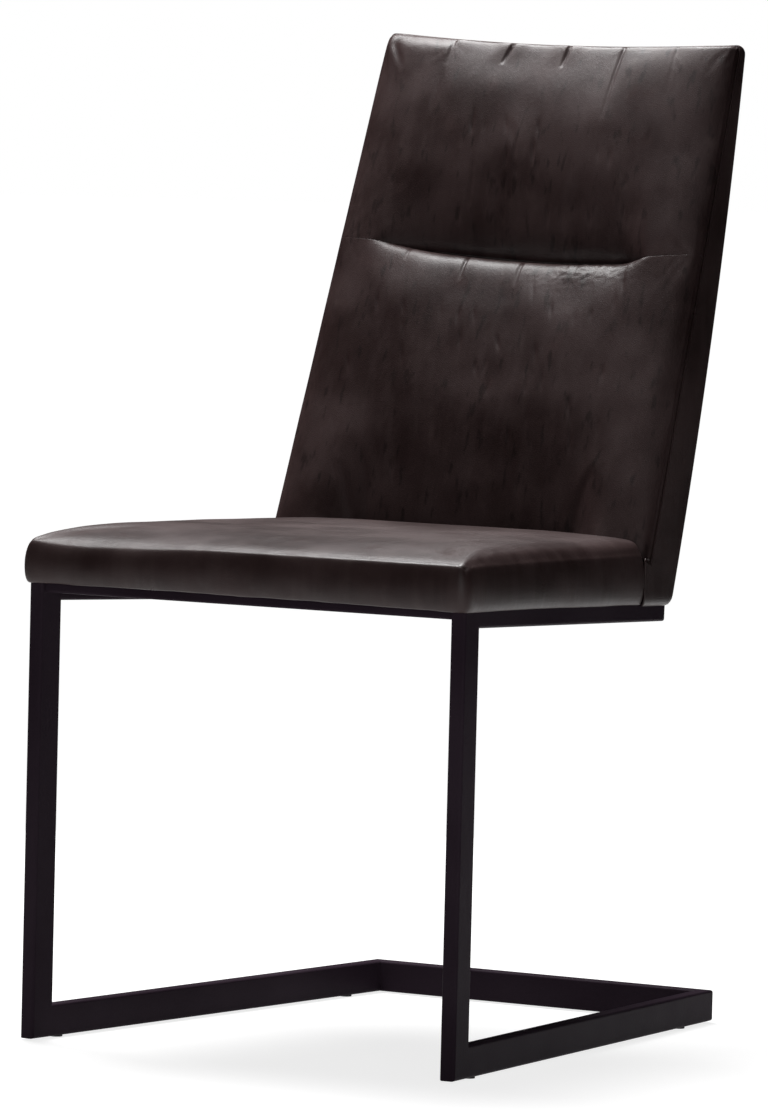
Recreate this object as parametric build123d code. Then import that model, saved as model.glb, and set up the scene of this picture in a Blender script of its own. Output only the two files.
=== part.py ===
from build123d import *
import os
from math import cos, radians, sin, tan

# A cantilever dining chair. Millimetres, +Z up, the sitter faces -Y, the floor is Z 0.
# Depths run to the rear, along Y, from the front faces of the legs, and heights from the floor.
# Left and right are as seen from the front.

# Flat steel tube of the base
TUBE_DEPTH = 30.0
TUBE_WIDTH = 15.0
TUBE_WALL = 1.5
TUBE_CORNER = 2.5
WELD_GAP = 0.1

# Side frames and base
FRONT_WIDTH = 471.0
TOE_IN = 4.65
BASE_DEPTH = 564.0
RAIL_UNDERSIDE = 410.0
RAIL_FALL = 2.1
RAIL_PAST_SEAT = 60.5
FRONT_BAR_SETBACK = 4.0
REAR_BAR_PAST_SEAT = 5.5
CAP_FLANGE = 2.0
CAP_PLUG = 14.0
CAP_CLEARANCE = 0.3
GLIDE_HEIGHT = 1.5
GLIDE_DIAMETER = 12.0
GLIDE_STEM_DIAMETER = 5.0
GLIDE_STEM = 5.0
GLIDE_CLEARANCE = 0.2
GLIDE_FRONT_PLACE = 45.0
GLIDE_REAR_MARGIN = 60.0

# Seat
LEATHER = 1.5
SOFT_CLEARANCE = 0.3
SKIRT_CLEARANCE = 0.5
FRONT_OVERHANG = 8.0
SEAT_SKIRT = 14.0
SEAT_EDGE = 51.0
SEAT_TOP_LIFT = 1.2
SEAT_REAR = 370.5
SEAT_FRONT_CORNER = 15.0
SEAT_HEM_CORNER = 8.0
SEAT_REAR_CORNER = 4.0
SEAT_HEM_ROLL = 2.5
SEAT_FRONT_ROLL = 2.25
SEAT_ROLL_START = 0.5
BOARD_THICKNESS = 10.0
BOARD_GAP = 0.1
BOARD_EDGE_CLEARANCE = 0.5
DUST_COVER = 1.0
DUST_COVER_MARGIN = 6.0
DUST_COVER_GAP = 0.5

# Fastening of the seat to the rails
TAB_LENGTH = 26.0
TAB_REACH = 22.0
TAB_THICKNESS = 3.0
TAB_FRONT_PLACE = 70.0
TAB_REAR_MARGIN = 40.5
BOLT_DIAMETER = 6.0
BOLT_HEAD_DIAMETER = 11.0
BOLT_HEAD = 4.0
BOLT_CLEARANCE = 0.3
T_NUT_WALL = 1.0
T_NUT_BARREL_LENGTH = 7.0
T_NUT_FLANGE_DIAMETER = 18.0
T_NUT_FLANGE = 1.5
T_NUT_CLEARANCE = 0.1
T_NUT_BARREL = BOLT_DIAMETER + 2 * T_NUT_WALL

# Back: rises are heights above the rails, and its thickness behind the pads is given at three heights.
BACK_GAP = 0.5
PAD_FOOT_RISE = 16.4
BACK_LEAN = 19.6
BACK_RISE = 505.4
BACK_TOP_DIP = 7.0
DIP_REACH = 1.1
REAR_LOW_THICKNESS = 67.0
REAR_MIDDLE_THICKNESS = 52.7
REAR_TOP_THICKNESS = 16.7
BACK_REAR_ROUND = 8.0
PAD_THICKNESS = 14.0
PAD_CROWN = 7.0
PAD_CROWN_SHARE = 0.4
PAD_CORNER = 6.0
SEAM_RISE = 300.0
SEAM_DIP = 14.0
SEAM_GAP = 0.6
PANEL_THICKNESS = 5.0
PANEL_EDGE_CLEARANCE = 0.5
UPRIGHT_DEPTH = 20.0
UPRIGHT_ROOM = 2.0
UPRIGHT_INSET = 1.0
FLAT_BAR_HEIGHT = 25.0
FLAT_BAR_THICKNESS = 4.0
FLAT_BAR_MARGIN = 10.0
LOWER_BAR_RISE = 59.0
SCREW_DIAMETER = 4.0
SCREW_HEAD_DIAMETER = 8.0
SCREW_HEAD = 2.4
SCREW_LENGTH = 14.0
SCREW_CLEARANCE = 0.1
SCREW_MARGIN = 25.0
SCREWS_PER_UPRIGHT = 3

# The seat's skirt clears the rails, and the rails reach under the back.
SIDE_OVERHANG = LEATHER + SEAT_HEM_ROLL + SKIRT_CLEARANCE
RAIL_LENGTH = SEAT_REAR + RAIL_PAST_SEAT
TOE = radians(TOE_IN)
FALL = radians(RAIL_FALL)
LEAN = radians(BACK_LEAN)
UP = Vector(0, 0, 1)
FAR = 2000.0


def half_width(depth, outward=0.0):
    """Half the width, at a depth, between the planes of the side frames' outer faces."""
    return FRONT_WIDTH / 2 + outward / cos(TOE) - depth * tan(TOE)


def plan_outline(front, rear, outward):
    """Plan outline between the side planes, from one depth to another, with Y as the depth."""
    return Polygon(
        (-half_width(front, outward), front),
        (half_width(front, outward), front),
        (half_width(rear, outward), rear),
        (-half_width(rear, outward), rear),
        align=None,
    )


def rounded(outline, front_corner, rear_corner):
    """A plan outline with its front and rear corners rounded."""
    outline = fillet(outline.vertices().sort_by(Axis.Y)[:2], front_corner)
    return fillet(outline.vertices().sort_by(Axis.Y)[-2:], rear_corner)


def between_sides(outward):
    """All the space between the two side planes, moved outward."""
    return extrude(plan_outline(-BASE_DEPTH, 2 * BASE_DEPTH, outward), FAR)


# Height at which the rails' top faces, carried forward, meet the front faces of the legs
RAIL_TOP = RAIL_UNDERSIDE + TUBE_DEPTH / cos(FALL) + TUBE_DEPTH * tan(FALL)
# The right side frame: X runs to the rear along it, Y up, Z outward.
SIDE_FRAME = Plane(
    origin=(FRONT_WIDTH / 2, 0, 0),
    x_dir=(-sin(TOE), cos(TOE), 0),
    z_dir=(cos(TOE), sin(TOE), 0),
)
# The plane of both rails' top faces: X across the chair, Y to the rear, Z up.
SEAT_FRAME = Plane(
    origin=(0, 0, RAIL_TOP),
    x_dir=(1, 0, 0),
    z_dir=(0, sin(FALL), cos(FALL)),
)
# The right rail's top face: X along the rail, Y inward, Z up.
RAIL_FACE = Plane(
    origin=(FRONT_WIDTH / 2, 0, RAIL_TOP),
    x_dir=(-sin(TOE), cos(TOE) * cos(FALL), -cos(TOE) * sin(FALL)),
    z_dir=SEAT_FRAME.z_dir,
)
# The back's front plane, from its foot at the seat's rear edge: X across the chair, Y up the back, Z forward.
PAD_FOOT = RAIL_TOP + PAD_FOOT_RISE
BACK_FOOT = SEAT_REAR + BACK_GAP
BACK_FRAME = Plane(
    origin=(0, BACK_FOOT, PAD_FOOT),
    x_dir=(1, 0, 0),
    z_dir=(0, -cos(LEAN), sin(LEAN)),
)


def on_side(along, height, outward=0.0):
    """Point in the right side frame."""
    return SIDE_FRAME.from_local_coords((along, height, outward))


def on_both_sides(solids):
    """Solids of the right side with their mirror images on the left."""
    return solids + [mirror(solid, about=Plane.YZ) for solid in solids]


def post(plane, diameter, low, high):
    """Round bar along a plane's normal between two levels."""
    return extrude(plane.offset(low) * Circle(diameter / 2), high - low)


def tube(start, length, depth=TUBE_DEPTH, width=TUBE_WIDTH):
    """Hollow tube along a plane's normal, with its depth along X and its width along Y."""
    outside = RectangleRounded(depth, width, TUBE_CORNER)
    inside = RectangleRounded(depth - 2 * TUBE_WALL, width - 2 * TUBE_WALL, TUBE_CORNER - TUBE_WALL)
    return extrude(start * (outside - inside), length)


def mitre(solid, outer, inner, across, kept):
    """The part of a solid on the side of a mitre that holds the point kept."""
    normal = (inner - outer).cross(across).normalized()
    if normal.dot(kept - outer) < 0:
        normal = -normal
    return split(solid, bisect_by=Plane(origin=outer, z_dir=normal), keep=Keep.TOP)


# Outer and inner corners of the mitres: at the foot and head of the leg, and at the base's rear
FOOT = (on_side(0, GLIDE_HEIGHT), on_side(TUBE_DEPTH, GLIDE_HEIGHT + TUBE_DEPTH))
HEAD = (on_side(0, RAIL_TOP), on_side(TUBE_DEPTH, RAIL_UNDERSIDE))
REAR_INSIDE = BASE_DEPTH - TUBE_WIDTH
REAR = (
    Vector(half_width(BASE_DEPTH), BASE_DEPTH, 0),
    Vector(half_width(REAR_INSIDE, -TUBE_WIDTH), REAR_INSIDE, 0),
)
LEG_MIDDLE = on_side(TUBE_DEPTH / 2, RAIL_UNDERSIDE / 2)
RUNNER_MIDDLE = on_side(BASE_DEPTH / 2, TUBE_DEPTH / 2)
RAIL_MIDDLE = on_side(RAIL_LENGTH / 2, RAIL_UNDERSIDE)


def right_leg():
    """Upright tube, mitred into the rail above and the runner below."""
    start = Plane(on_side(TUBE_DEPTH / 2, 0, -TUBE_WIDTH / 2), SIDE_FRAME.x_dir, UP)
    leg = tube(start, RAIL_TOP + TUBE_DEPTH)
    leg = mitre(leg, *FOOT, SIDE_FRAME.z_dir, LEG_MIDDLE)
    return mitre(leg, *HEAD, SIDE_FRAME.z_dir, LEG_MIDDLE)


def glide_planes():
    """Glide axes under the right runner, at the floor."""
    places = (GLIDE_FRONT_PLACE, BASE_DEPTH - GLIDE_REAR_MARGIN)
    return [Plane(on_side(place, 0, -TUBE_WIDTH / 2)) for place in places]


def right_runner():
    """Floor tube, mitred into the leg and the rear bar, with holes for its glides."""
    start = Plane(on_side(-TUBE_DEPTH, GLIDE_HEIGHT + TUBE_DEPTH / 2, -TUBE_WIDTH / 2), UP, SIDE_FRAME.x_dir)
    runner = tube(start, BASE_DEPTH + 3 * TUBE_DEPTH)
    runner = mitre(runner, *FOOT, SIDE_FRAME.z_dir, RUNNER_MIDDLE)
    runner = mitre(runner, *REAR, UP, RUNNER_MIDDLE)
    hole = GLIDE_STEM_DIAMETER + 2 * GLIDE_CLEARANCE
    return runner - [post(plane, hole, 0, GLIDE_HEIGHT + TUBE_DEPTH / 2) for plane in glide_planes()]


def right_glides():
    """Plastic glides whose stems push into the runner's underside."""
    return [
        post(plane, GLIDE_DIAMETER, 0, GLIDE_HEIGHT)
        + post(plane, GLIDE_STEM_DIAMETER, 0, GLIDE_HEIGHT + GLIDE_STEM)
        for plane in glide_planes()
    ]


def rear_floor_bar():
    """Cross tube that joins the runners at the rear."""
    middle = Vector(0, BASE_DEPTH, 0)
    corner = (-FRONT_WIDTH / 2, middle.Y - TUBE_WIDTH / 2, GLIDE_HEIGHT + TUBE_DEPTH / 2)
    bar = tube(Plane(corner, UP, (1, 0, 0)), FRONT_WIDTH)
    bar = mitre(bar, *REAR, UP, middle)
    left_rear = [Vector(-point.X, point.Y, point.Z) for point in REAR]
    return mitre(bar, *left_rear, UP, middle)


def right_seat_rail():
    """Cantilevered tube under the seat, falling to the rear, open behind for its plug."""
    corner = RAIL_FACE.from_local_coords((-TUBE_DEPTH, TUBE_WIDTH / 2, -TUBE_DEPTH / 2))
    rail = tube(Plane(corner, RAIL_FACE.z_dir, RAIL_FACE.x_dir), RAIL_LENGTH - CAP_FLANGE + TUBE_DEPTH)
    return mitre(rail, *HEAD, SIDE_FRAME.z_dir, RAIL_MIDDLE)


def right_rail_cap():
    """Plastic plug that closes the rail's rear end."""
    end = RAIL_FACE.from_local_coords((RAIL_LENGTH, TUBE_WIDTH / 2, -TUBE_DEPTH / 2))
    plane = Plane(end, RAIL_FACE.z_dir, -RAIL_FACE.x_dir)
    shrink = 2 * (TUBE_WALL + CAP_CLEARANCE)
    flange = extrude(plane * RectangleRounded(TUBE_DEPTH, TUBE_WIDTH, TUBE_CORNER), CAP_FLANGE)
    plug = Rectangle(TUBE_DEPTH - shrink, TUBE_WIDTH - shrink)
    return flange + extrude(plane * plug, CAP_FLANGE + CAP_PLUG)


def seat_bar(front):
    """Tube laid flat across the chair between the rails, halfway up their height."""
    place = SEAT_FRAME.from_local_coords((0, front + TUBE_DEPTH / 2, -TUBE_DEPTH / 2))
    start = Plane((-FRONT_WIDTH / 2, place.Y, place.Z), SEAT_FRAME.y_dir, (1, 0, 0))
    return tube(start, FRONT_WIDTH) & between_sides(-TUBE_WIDTH - WELD_GAP)


def bolt_planes():
    """Bolt axes beside the right rail, at the level of its top face."""
    inward = TUBE_WIDTH + TAB_REACH / 2
    places = (TAB_FRONT_PLACE, SEAT_REAR - TAB_REAR_MARGIN)
    corners = [RAIL_FACE.from_local_coords((place, inward, 0)) for place in places]
    return [Plane(corner, RAIL_FACE.x_dir, RAIL_FACE.z_dir) for corner in corners]


def right_seat_tabs():
    """Steel plates welded inside the rail, level with its top, drilled for the seat bolts."""
    hole = BOLT_DIAMETER + 2 * BOLT_CLEARANCE
    return [
        extrude(plane * Rectangle(TAB_LENGTH, TAB_REACH), -TAB_THICKNESS)
        - post(plane, hole, -2 * TAB_THICKNESS, TAB_THICKNESS)
        for plane in bolt_planes()
    ]


BOARD_TOP = BOARD_GAP + BOARD_THICKNESS
T_NUT_TOP = BOARD_TOP + T_NUT_FLANGE


def right_seat_bolts():
    """Bolts from below, through the tabs and into the T-nuts."""
    head_low = -TAB_THICKNESS - BOLT_HEAD
    return [
        post(plane, BOLT_HEAD_DIAMETER, head_low, -TAB_THICKNESS)
        + post(plane, BOLT_DIAMETER, head_low, T_NUT_TOP)
        for plane in bolt_planes()
    ]


def right_t_nuts():
    """Flanged nuts set into the board from above."""
    bore = BOLT_DIAMETER + 2 * T_NUT_CLEARANCE
    return [
        post(plane, T_NUT_FLANGE_DIAMETER, BOARD_TOP, T_NUT_TOP)
        + post(plane, T_NUT_BARREL, BOARD_TOP - T_NUT_BARREL_LENGTH, T_NUT_TOP)
        - post(plane, bore, -BOARD_TOP, 2 * T_NUT_TOP)
        for plane in bolt_planes()
    ]


def seat_board():
    """Plywood board that lies on the rails and carries the seat's foam and cover."""
    edge = SIDE_OVERHANG - LEATHER - BOARD_EDGE_CLEARANCE
    front = -FRONT_OVERHANG + LEATHER + SEAT_HEM_ROLL
    outline = plan_outline(front, SEAT_REAR - LEATHER - BOARD_EDGE_CLEARANCE, edge)
    outline = rounded(outline, SEAT_FRONT_CORNER, SEAT_REAR_CORNER)
    board = extrude(SEAT_FRAME.offset(BOARD_GAP) * outline, BOARD_THICKNESS)
    hole = T_NUT_BARREL + 2 * T_NUT_CLEARANCE
    return board - on_both_sides([post(plane, hole, -BOARD_TOP, 2 * BOARD_TOP) for plane in bolt_planes()])


def seat_dust_cover():
    """Black fabric sheet under the board, between the fixing tabs."""
    margin = TUBE_WIDTH + TAB_REACH + DUST_COVER_MARGIN
    front = FRONT_BAR_SETBACK + TUBE_DEPTH + DUST_COVER_MARGIN
    outline = plan_outline(front, SEAT_REAR - DUST_COVER_MARGIN, -margin)
    return extrude(SEAT_FRAME.offset(BOARD_GAP) * outline, -DUST_COVER)


# The seat's padded form from hem to crown: share of the edge height, and how far it is drawn in
SEAT_LEVELS = (
    (0.0, SEAT_HEM_ROLL),
    (0.1, 1.0),
    (0.25, 0.2),
    (0.45, 0.0),
    (0.65, 0.8),
    (0.8, 3.0),
    (0.91, 7.0),
    (0.97, 12.0),
    (1.0, 19.0),
    (1.05, 40.0),
    (1.09, 75.0),
    (1.11, 120.0),
)


def seat_form(inset, drop=0.0):
    """The seat's padded outside, or a form inset within it whose hem hangs lower by drop."""
    sections = []
    for share, drawn_in in SEAT_LEVELS:
        height = share * SEAT_EDGE - SEAT_SKIRT - min(share, 1) * inset
        if share == 0:
            height -= drop
        slope = FALL - radians(SEAT_TOP_LIFT) * share
        level = Plane((0, 0, RAIL_TOP + height), (1, 0, 0), (0, sin(slope), cos(slope)))
        roll = SEAT_FRONT_ROLL if share > SEAT_ROLL_START else 1.0
        front = -FRONT_OVERHANG + inset + roll * drawn_in
        corner = SEAT_HEM_CORNER + (SEAT_FRONT_CORNER - SEAT_HEM_CORNER) * min(share, 1)
        outline = plan_outline(front, SEAT_REAR - inset, SIDE_OVERHANG - inset - drawn_in)
        sections.append(level * rounded(outline, corner, SEAT_REAR_CORNER))
    return loft(sections, ruled=True)


def seat_cover():
    """Leather cover, open below, whose hem hangs over the rails and whose rear wall stops at the board."""
    cover = seat_form(0) - seat_form(LEATHER, drop=TUBE_DEPTH)
    rear_way = plan_outline(SEAT_REAR / 2, 2 * SEAT_REAR, SIDE_OVERHANG - LEATHER - SEAT_HEM_ROLL)
    return cover - extrude(SEAT_FRAME.offset(BOARD_TOP) * rear_way, -FAR)


def seat_foam():
    """Foam block on the board that fills the cover, with pockets over the T-nuts."""
    foam = seat_form(LEATHER + SOFT_CLEARANCE)
    foam = split(foam, bisect_by=SEAT_FRAME.offset(BOARD_TOP + SOFT_CLEARANCE), keep=Keep.TOP)
    pocket = T_NUT_FLANGE_DIAMETER + 2 * SOFT_CLEARANCE
    pockets = [post(plane, pocket, 0, T_NUT_TOP + SOFT_CLEARANCE) for plane in bolt_planes()]
    return foam - on_both_sides(pockets)


def up_the_back(height):
    """Distance up the back's front plane to a height."""
    return (height - PAD_FOOT) / cos(LEAN)


def back_half_width(up, level, outward):
    """Half the width between the side planes at a place on the back."""
    return half_width(BACK_FOOT + up * sin(LEAN) - level * cos(LEAN), outward)


def bowed(start, end, dip):
    """Edge that dips in the middle, or a straight one."""
    if dip == 0:
        return Line(start, end)
    middle = ((start[0] + end[0]) / 2, (start[1] + end[1]) / 2 - dip)
    return ThreePointArc(start, middle, end)


def back_outline(low, low_dip, high, high_dip, level, inset):
    """Outline on the back between two heights, inset all round, at a level of the back's frame."""
    low_up = up_the_back(low) + inset
    high_up = up_the_back(high) - inset
    low_half = back_half_width(low_up, level, SIDE_OVERHANG - inset)
    high_half = back_half_width(high_up, level, SIDE_OVERHANG - inset)
    edges = [
        bowed((-low_half, low_up), (low_half, low_up), low_dip),
        Line((low_half, low_up), (high_half, high_up)),
        bowed((high_half, high_up), (-high_half, high_up), high_dip),
        Line((-high_half, high_up), (-low_half, low_up)),
    ]
    return make_face(edges)


# A back pad's form from its rear to its crown: share of the thickness, share of the crown, inset
PAD_LEVELS = (
    (0.0, 0.0, 0.0),
    (0.35, 0.0, 0.0),
    (0.6, 0.0, 1.2),
    (0.8, 0.0, 3.6),
    (0.93, 0.0, 7.2),
    (1.0, 0.0, 12.0),
    (1.0, 0.4, 24.0),
    (1.0, 0.75, 45.0),
    (1.0, 1.0, 80.0),
)
BACK_TOP = RAIL_TOP + BACK_RISE
SEAM_HEIGHT = RAIL_TOP + SEAM_RISE
UPPER_PAD = (SEAM_HEIGHT + SEAM_GAP / 2, SEAM_DIP, BACK_TOP, BACK_TOP_DIP)
LOWER_PAD = (PAD_FOOT, 0, SEAM_HEIGHT - SEAM_GAP / 2, SEAM_DIP)


def pad_form(span, inset, rear=0.0):
    """A back pad's padded outside, or a form inset within it whose rear face is moved forward."""
    # The crown reaches in from the edges by no more than its share of the pad's height.
    height = up_the_back(span[2]) - up_the_back(span[0])
    reach = min(1, PAD_CROWN_SHARE * height / PAD_LEVELS[-1][-1])
    sections = []
    for thickness, crown, drawn_in in PAD_LEVELS:
        level = (thickness - 1) * PAD_THICKNESS + crown * PAD_CROWN - thickness * inset
        if thickness == 0:
            level += rear
        outline = back_outline(*span, level, reach * drawn_in + inset)
        outline = fillet(outline.vertices(), PAD_CORNER)
        sections.append(BACK_FRAME.offset(level) * outline)
    return loft(sections, ruled=True)


def pad_cover(span):
    """Leather cover of a back pad, open towards the panel behind it."""
    return pad_form(span, 0) - pad_form(span, LEATHER, rear=-PAD_THICKNESS)


def pad_foam(span):
    """Foam that fills a back pad's cover, glued to the panel."""
    return pad_form(span, LEATHER + SOFT_CLEARANCE, rear=SOFT_CLEARANCE)


PANEL_FRONT = -PAD_THICKNESS
PANEL_REAR = PANEL_FRONT - PANEL_THICKNESS
UPRIGHT_LEVEL = PANEL_REAR - UPRIGHT_DEPTH / 2
# Behind the pads the back ends at the height of their rear top edge, and its front stops below their foot.
REAR_TOP = BACK_TOP - PAD_THICKNESS * sin(LEAN)
REAR_LEDGE = PAD_FOOT - PAD_THICKNESS * sin(LEAN) - BACK_GAP
HEM_TOP = RAIL_TOP - SEAT_SKIRT / cos(FALL)
REAR_LOW = HEM_TOP - SEAT_REAR * tan(FALL)
REAR_MIDDLE = (REAR_LOW + REAR_TOP) / 2
# The uprights end where the back gets too thin for them, taken as straight from its middle to its top.
UPRIGHT_NEED = (PANEL_THICKNESS + UPRIGHT_DEPTH + LEATHER + UPRIGHT_ROOM) / cos(LEAN)
REAR_TAPER = (REAR_TOP - REAR_MIDDLE) / (REAR_MIDDLE_THICKNESS - REAR_TOP_THICKNESS)
UPRIGHT_TOP = REAR_MIDDLE + (REAR_MIDDLE_THICKNESS - UPRIGHT_NEED) * REAR_TAPER
FLAT_BAR_TOPS = (UPRIGHT_TOP - FLAT_BAR_MARGIN, RAIL_TOP + LOWER_BAR_RISE)
# The uprights lean in with the side planes, in a plane parallel to the panel.
UPRIGHT_TURN = tan(TOE) * sin(LEAN)
UPRIGHT_AXIS = BACK_FRAME.y_dir - BACK_FRAME.x_dir * UPRIGHT_TURN


def upright_middle(up):
    """Distance of an upright's middle from the chair's centre plane."""
    return back_half_width(up, UPRIGHT_LEVEL, -UPRIGHT_INSET) - TUBE_WIDTH / 2


def on_upright(up, level):
    """Point on the right upright's centre line, moved to a level of the back's frame."""
    return BACK_FRAME.from_local_coords((upright_middle(up), up, level))


def panel_screws(grow=0.0):
    """Countersunk screws that hold the panel to the right upright, or the holes for them."""
    high = up_the_back(UPRIGHT_TOP) - SCREW_MARGIN
    low = up_the_back(RAIL_TOP + LOWER_BAR_RISE) + SCREW_MARGIN
    screws = []
    for count in range(SCREWS_PER_UPRIGHT):
        up = low + (high - low) * count / (SCREWS_PER_UPRIGHT - 1)
        head = Plane(on_upright(up, PANEL_FRONT), BACK_FRAME.x_dir, BACK_FRAME.z_dir)
        rim = head * Circle(SCREW_HEAD_DIAMETER / 2 + grow)
        neck = head.offset(-SCREW_HEAD) * Circle(SCREW_DIAMETER / 2 + grow)
        shank = post(head, SCREW_DIAMETER + 2 * grow, -SCREW_LENGTH - grow, -SCREW_HEAD)
        screws.append(loft([rim, neck], ruled=True) + shank)
    return screws


UPRIGHT_LOW = up_the_back(RAIL_UNDERSIDE)
UPRIGHT_LENGTH = (up_the_back(UPRIGHT_TOP) - UPRIGHT_LOW) * UPRIGHT_AXIS.length
UPRIGHT_START = Plane(on_upright(UPRIGHT_LOW, UPRIGHT_LEVEL), BACK_FRAME.z_dir, UPRIGHT_AXIS)


def right_back_upright():
    """Tube welded on the rail, leaning inside the back, with holes for the panel's screws."""
    upright = tube(UPRIGHT_START, UPRIGHT_LENGTH, depth=UPRIGHT_DEPTH)
    upright = split(upright, bisect_by=SEAT_FRAME, keep=Keep.TOP)
    return upright - panel_screws(SCREW_CLEARANCE)


def right_upright_room():
    """The room that the right upright takes in the foam."""
    section = Rectangle(UPRIGHT_DEPTH + 2 * SOFT_CLEARANCE, TUBE_WIDTH + 2 * SOFT_CLEARANCE)
    return extrude(UPRIGHT_START * section, UPRIGHT_LENGTH + SOFT_CLEARANCE)


def flat_bar(height, grow=0.0):
    """Flat steel between the uprights, level with their front faces, its top at a height, or its room."""
    high = up_the_back(height) + grow
    low = high - FLAT_BAR_HEIGHT - 2 * grow
    half = TUBE_WIDTH / 2 + WELD_GAP
    outline = Polygon(
        (-upright_middle(low) + half, low),
        (upright_middle(low) - half, low),
        (upright_middle(high) - half, high),
        (-upright_middle(high) + half, high),
        align=None,
    )
    return extrude(BACK_FRAME.offset(PANEL_REAR) * outline, -FLAT_BAR_THICKNESS - grow)


def back_panel():
    """Plywood panel between the pads and the uprights."""
    inset = LEATHER + PANEL_EDGE_CLEARANCE
    outline = back_outline(PAD_FOOT, 0, BACK_TOP, BACK_TOP_DIP, PANEL_REAR, inset)
    panel = extrude(BACK_FRAME.offset(PANEL_FRONT) * outline, -PANEL_THICKNESS)
    return panel - on_both_sides(panel_screws(SCREW_CLEARANCE))


def panel_depth(height):
    """Depth of the panel's front face at a height."""
    return BACK_FOOT + (height - PAD_FOOT) * tan(LEAN) + PAD_THICKNESS / cos(LEAN)


def above_dip(top, half):
    """All that lies above the back's top edge, which dips between its two corners."""
    past = half * DIP_REACH
    rise = BACK_TOP_DIP * cos(LEAN) * (DIP_REACH**2 - 1)
    ends = ((-past, top + rise), (past, top + rise))
    dip = bowed(*ends, rise + BACK_TOP_DIP * cos(LEAN))
    return extrude(Plane.XZ * make_face([dip, Line(*ends)]), FAR, both=True)


def rear_form(inset, reach=0.0):
    """The back behind the pads, or a form inset within it that reaches out of its front."""
    top = REAR_TOP - inset
    foot = BACK_FOOT - reach
    low = panel_depth(REAR_LOW) + REAR_LOW_THICKNESS - inset
    corners = [
        (low, HEM_TOP - low * tan(FALL)),
        (foot, HEM_TOP - foot * tan(FALL)),
        (foot, REAR_LEDGE),
        (panel_depth(REAR_LEDGE) - reach, REAR_LEDGE),
        (panel_depth(top) - reach, top),
        (panel_depth(REAR_TOP) + REAR_TOP_THICKNESS - inset, top),
    ]
    middle = (panel_depth(REAR_MIDDLE) + REAR_MIDDLE_THICKNESS - inset, REAR_MIDDLE)
    edges = [Line(first, second) for first, second in zip(corners, corners[1:])]
    profile = make_face(edges + [ThreePointArc(corners[-1], middle, corners[0])])
    form = extrude(Plane.YZ * profile, FRONT_WIDTH, both=True) & between_sides(SIDE_OVERHANG - inset)
    form -= above_dip(top, half_width(panel_depth(top), SIDE_OVERHANG - inset))
    rear = form.faces().filter_by(GeomType.CYLINDER).sort_by(SortBy.AREA)[-1]
    return fillet(rear.edges().sort_by(Axis.Z)[1:], BACK_REAR_ROUND - inset)


def rear_back_cover():
    """Leather cover of the back's sides, rear and top, open towards the panel and below."""
    return rear_form(0) - rear_form(LEATHER, reach=PAD_THICKNESS)


def back_dust_cover():
    """Black fabric sheet that closes the back below, between the rails."""
    rear = panel_depth(REAR_LOW) + REAR_LOW_THICKNESS - BACK_REAR_ROUND
    outline = plan_outline(BACK_FOOT + BACK_GAP, rear, -TUBE_WIDTH - DUST_COVER_GAP)
    return extrude(SEAT_FRAME * outline, -DUST_COVER)


def rear_back_foam():
    """Foam behind the panel, round the uprights and the flat bars."""
    foam = rear_form(LEATHER + SOFT_CLEARANCE)
    foam = split(foam, bisect_by=BACK_FRAME.offset(PANEL_REAR - SOFT_CLEARANCE), keep=Keep.BOTTOM)
    foam = split(foam, bisect_by=SEAT_FRAME.offset(SOFT_CLEARANCE), keep=Keep.TOP)
    foam -= on_both_sides([right_upright_room()])
    return foam - [flat_bar(top, SOFT_CLEARANCE) for top in FLAT_BAR_TOPS]


os.makedirs("parts", exist_ok=True)
nodes = {}
for name, make in (
    ("leg", right_leg),
    ("runner", right_runner),
    ("seat_rail", right_seat_rail),
    ("back_upright", right_back_upright),
):
    nodes["right_" + name] = make()
    nodes["left_" + name] = mirror(nodes["right_" + name], about=Plane.YZ)
nodes["rear_floor_bar"] = rear_floor_bar()
nodes["front_seat_bar"] = seat_bar(FRONT_BAR_SETBACK)
nodes["rear_seat_bar"] = seat_bar(SEAT_REAR + REAR_BAR_PAST_SEAT)
nodes["rail_end_caps"] = Compound(on_both_sides([right_rail_cap()]))
nodes["floor_glides"] = Compound(on_both_sides(right_glides()))
nodes["seat_tabs"] = Compound(on_both_sides(right_seat_tabs()))
nodes["seat_bolts"] = Compound(on_both_sides(right_seat_bolts()))
nodes["seat_t_nuts"] = Compound(on_both_sides(right_t_nuts()))
nodes["seat_board"] = seat_board()
nodes["seat_dust_cover"] = seat_dust_cover()
nodes["seat_cover"] = seat_cover()
nodes["seat_foam"] = seat_foam()
for name, top in zip(("back_top_bar", "back_lower_bar"), FLAT_BAR_TOPS):
    nodes[name] = flat_bar(top)
nodes["back_panel"] = back_panel()
nodes["panel_screws"] = Compound(on_both_sides(panel_screws()))
nodes["upper_back_cover"] = pad_cover(UPPER_PAD)
nodes["lower_back_cover"] = pad_cover(LOWER_PAD)
nodes["upper_back_foam"] = pad_foam(UPPER_PAD)
nodes["lower_back_foam"] = pad_foam(LOWER_PAD)
nodes["rear_back_cover"] = rear_back_cover()
nodes["rear_back_foam"] = rear_back_foam()
nodes["back_dust_cover"] = back_dust_cover()
# The middle of the chair's depth, from the seat's front to the back's top, becomes Y 0.
front = nodes["seat_cover"].bounding_box().min.Y
rear = nodes["rear_back_cover"].bounding_box().max.Y
for name, solid in nodes.items():
    export_step(Pos(0, -(front + rear) / 2, 0) * solid, f"parts/{name}.step")
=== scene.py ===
from math import cos, pi, radians, sin, tan

import bpy
import numpy as np
from mathutils import Matrix, Vector, noise


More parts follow.
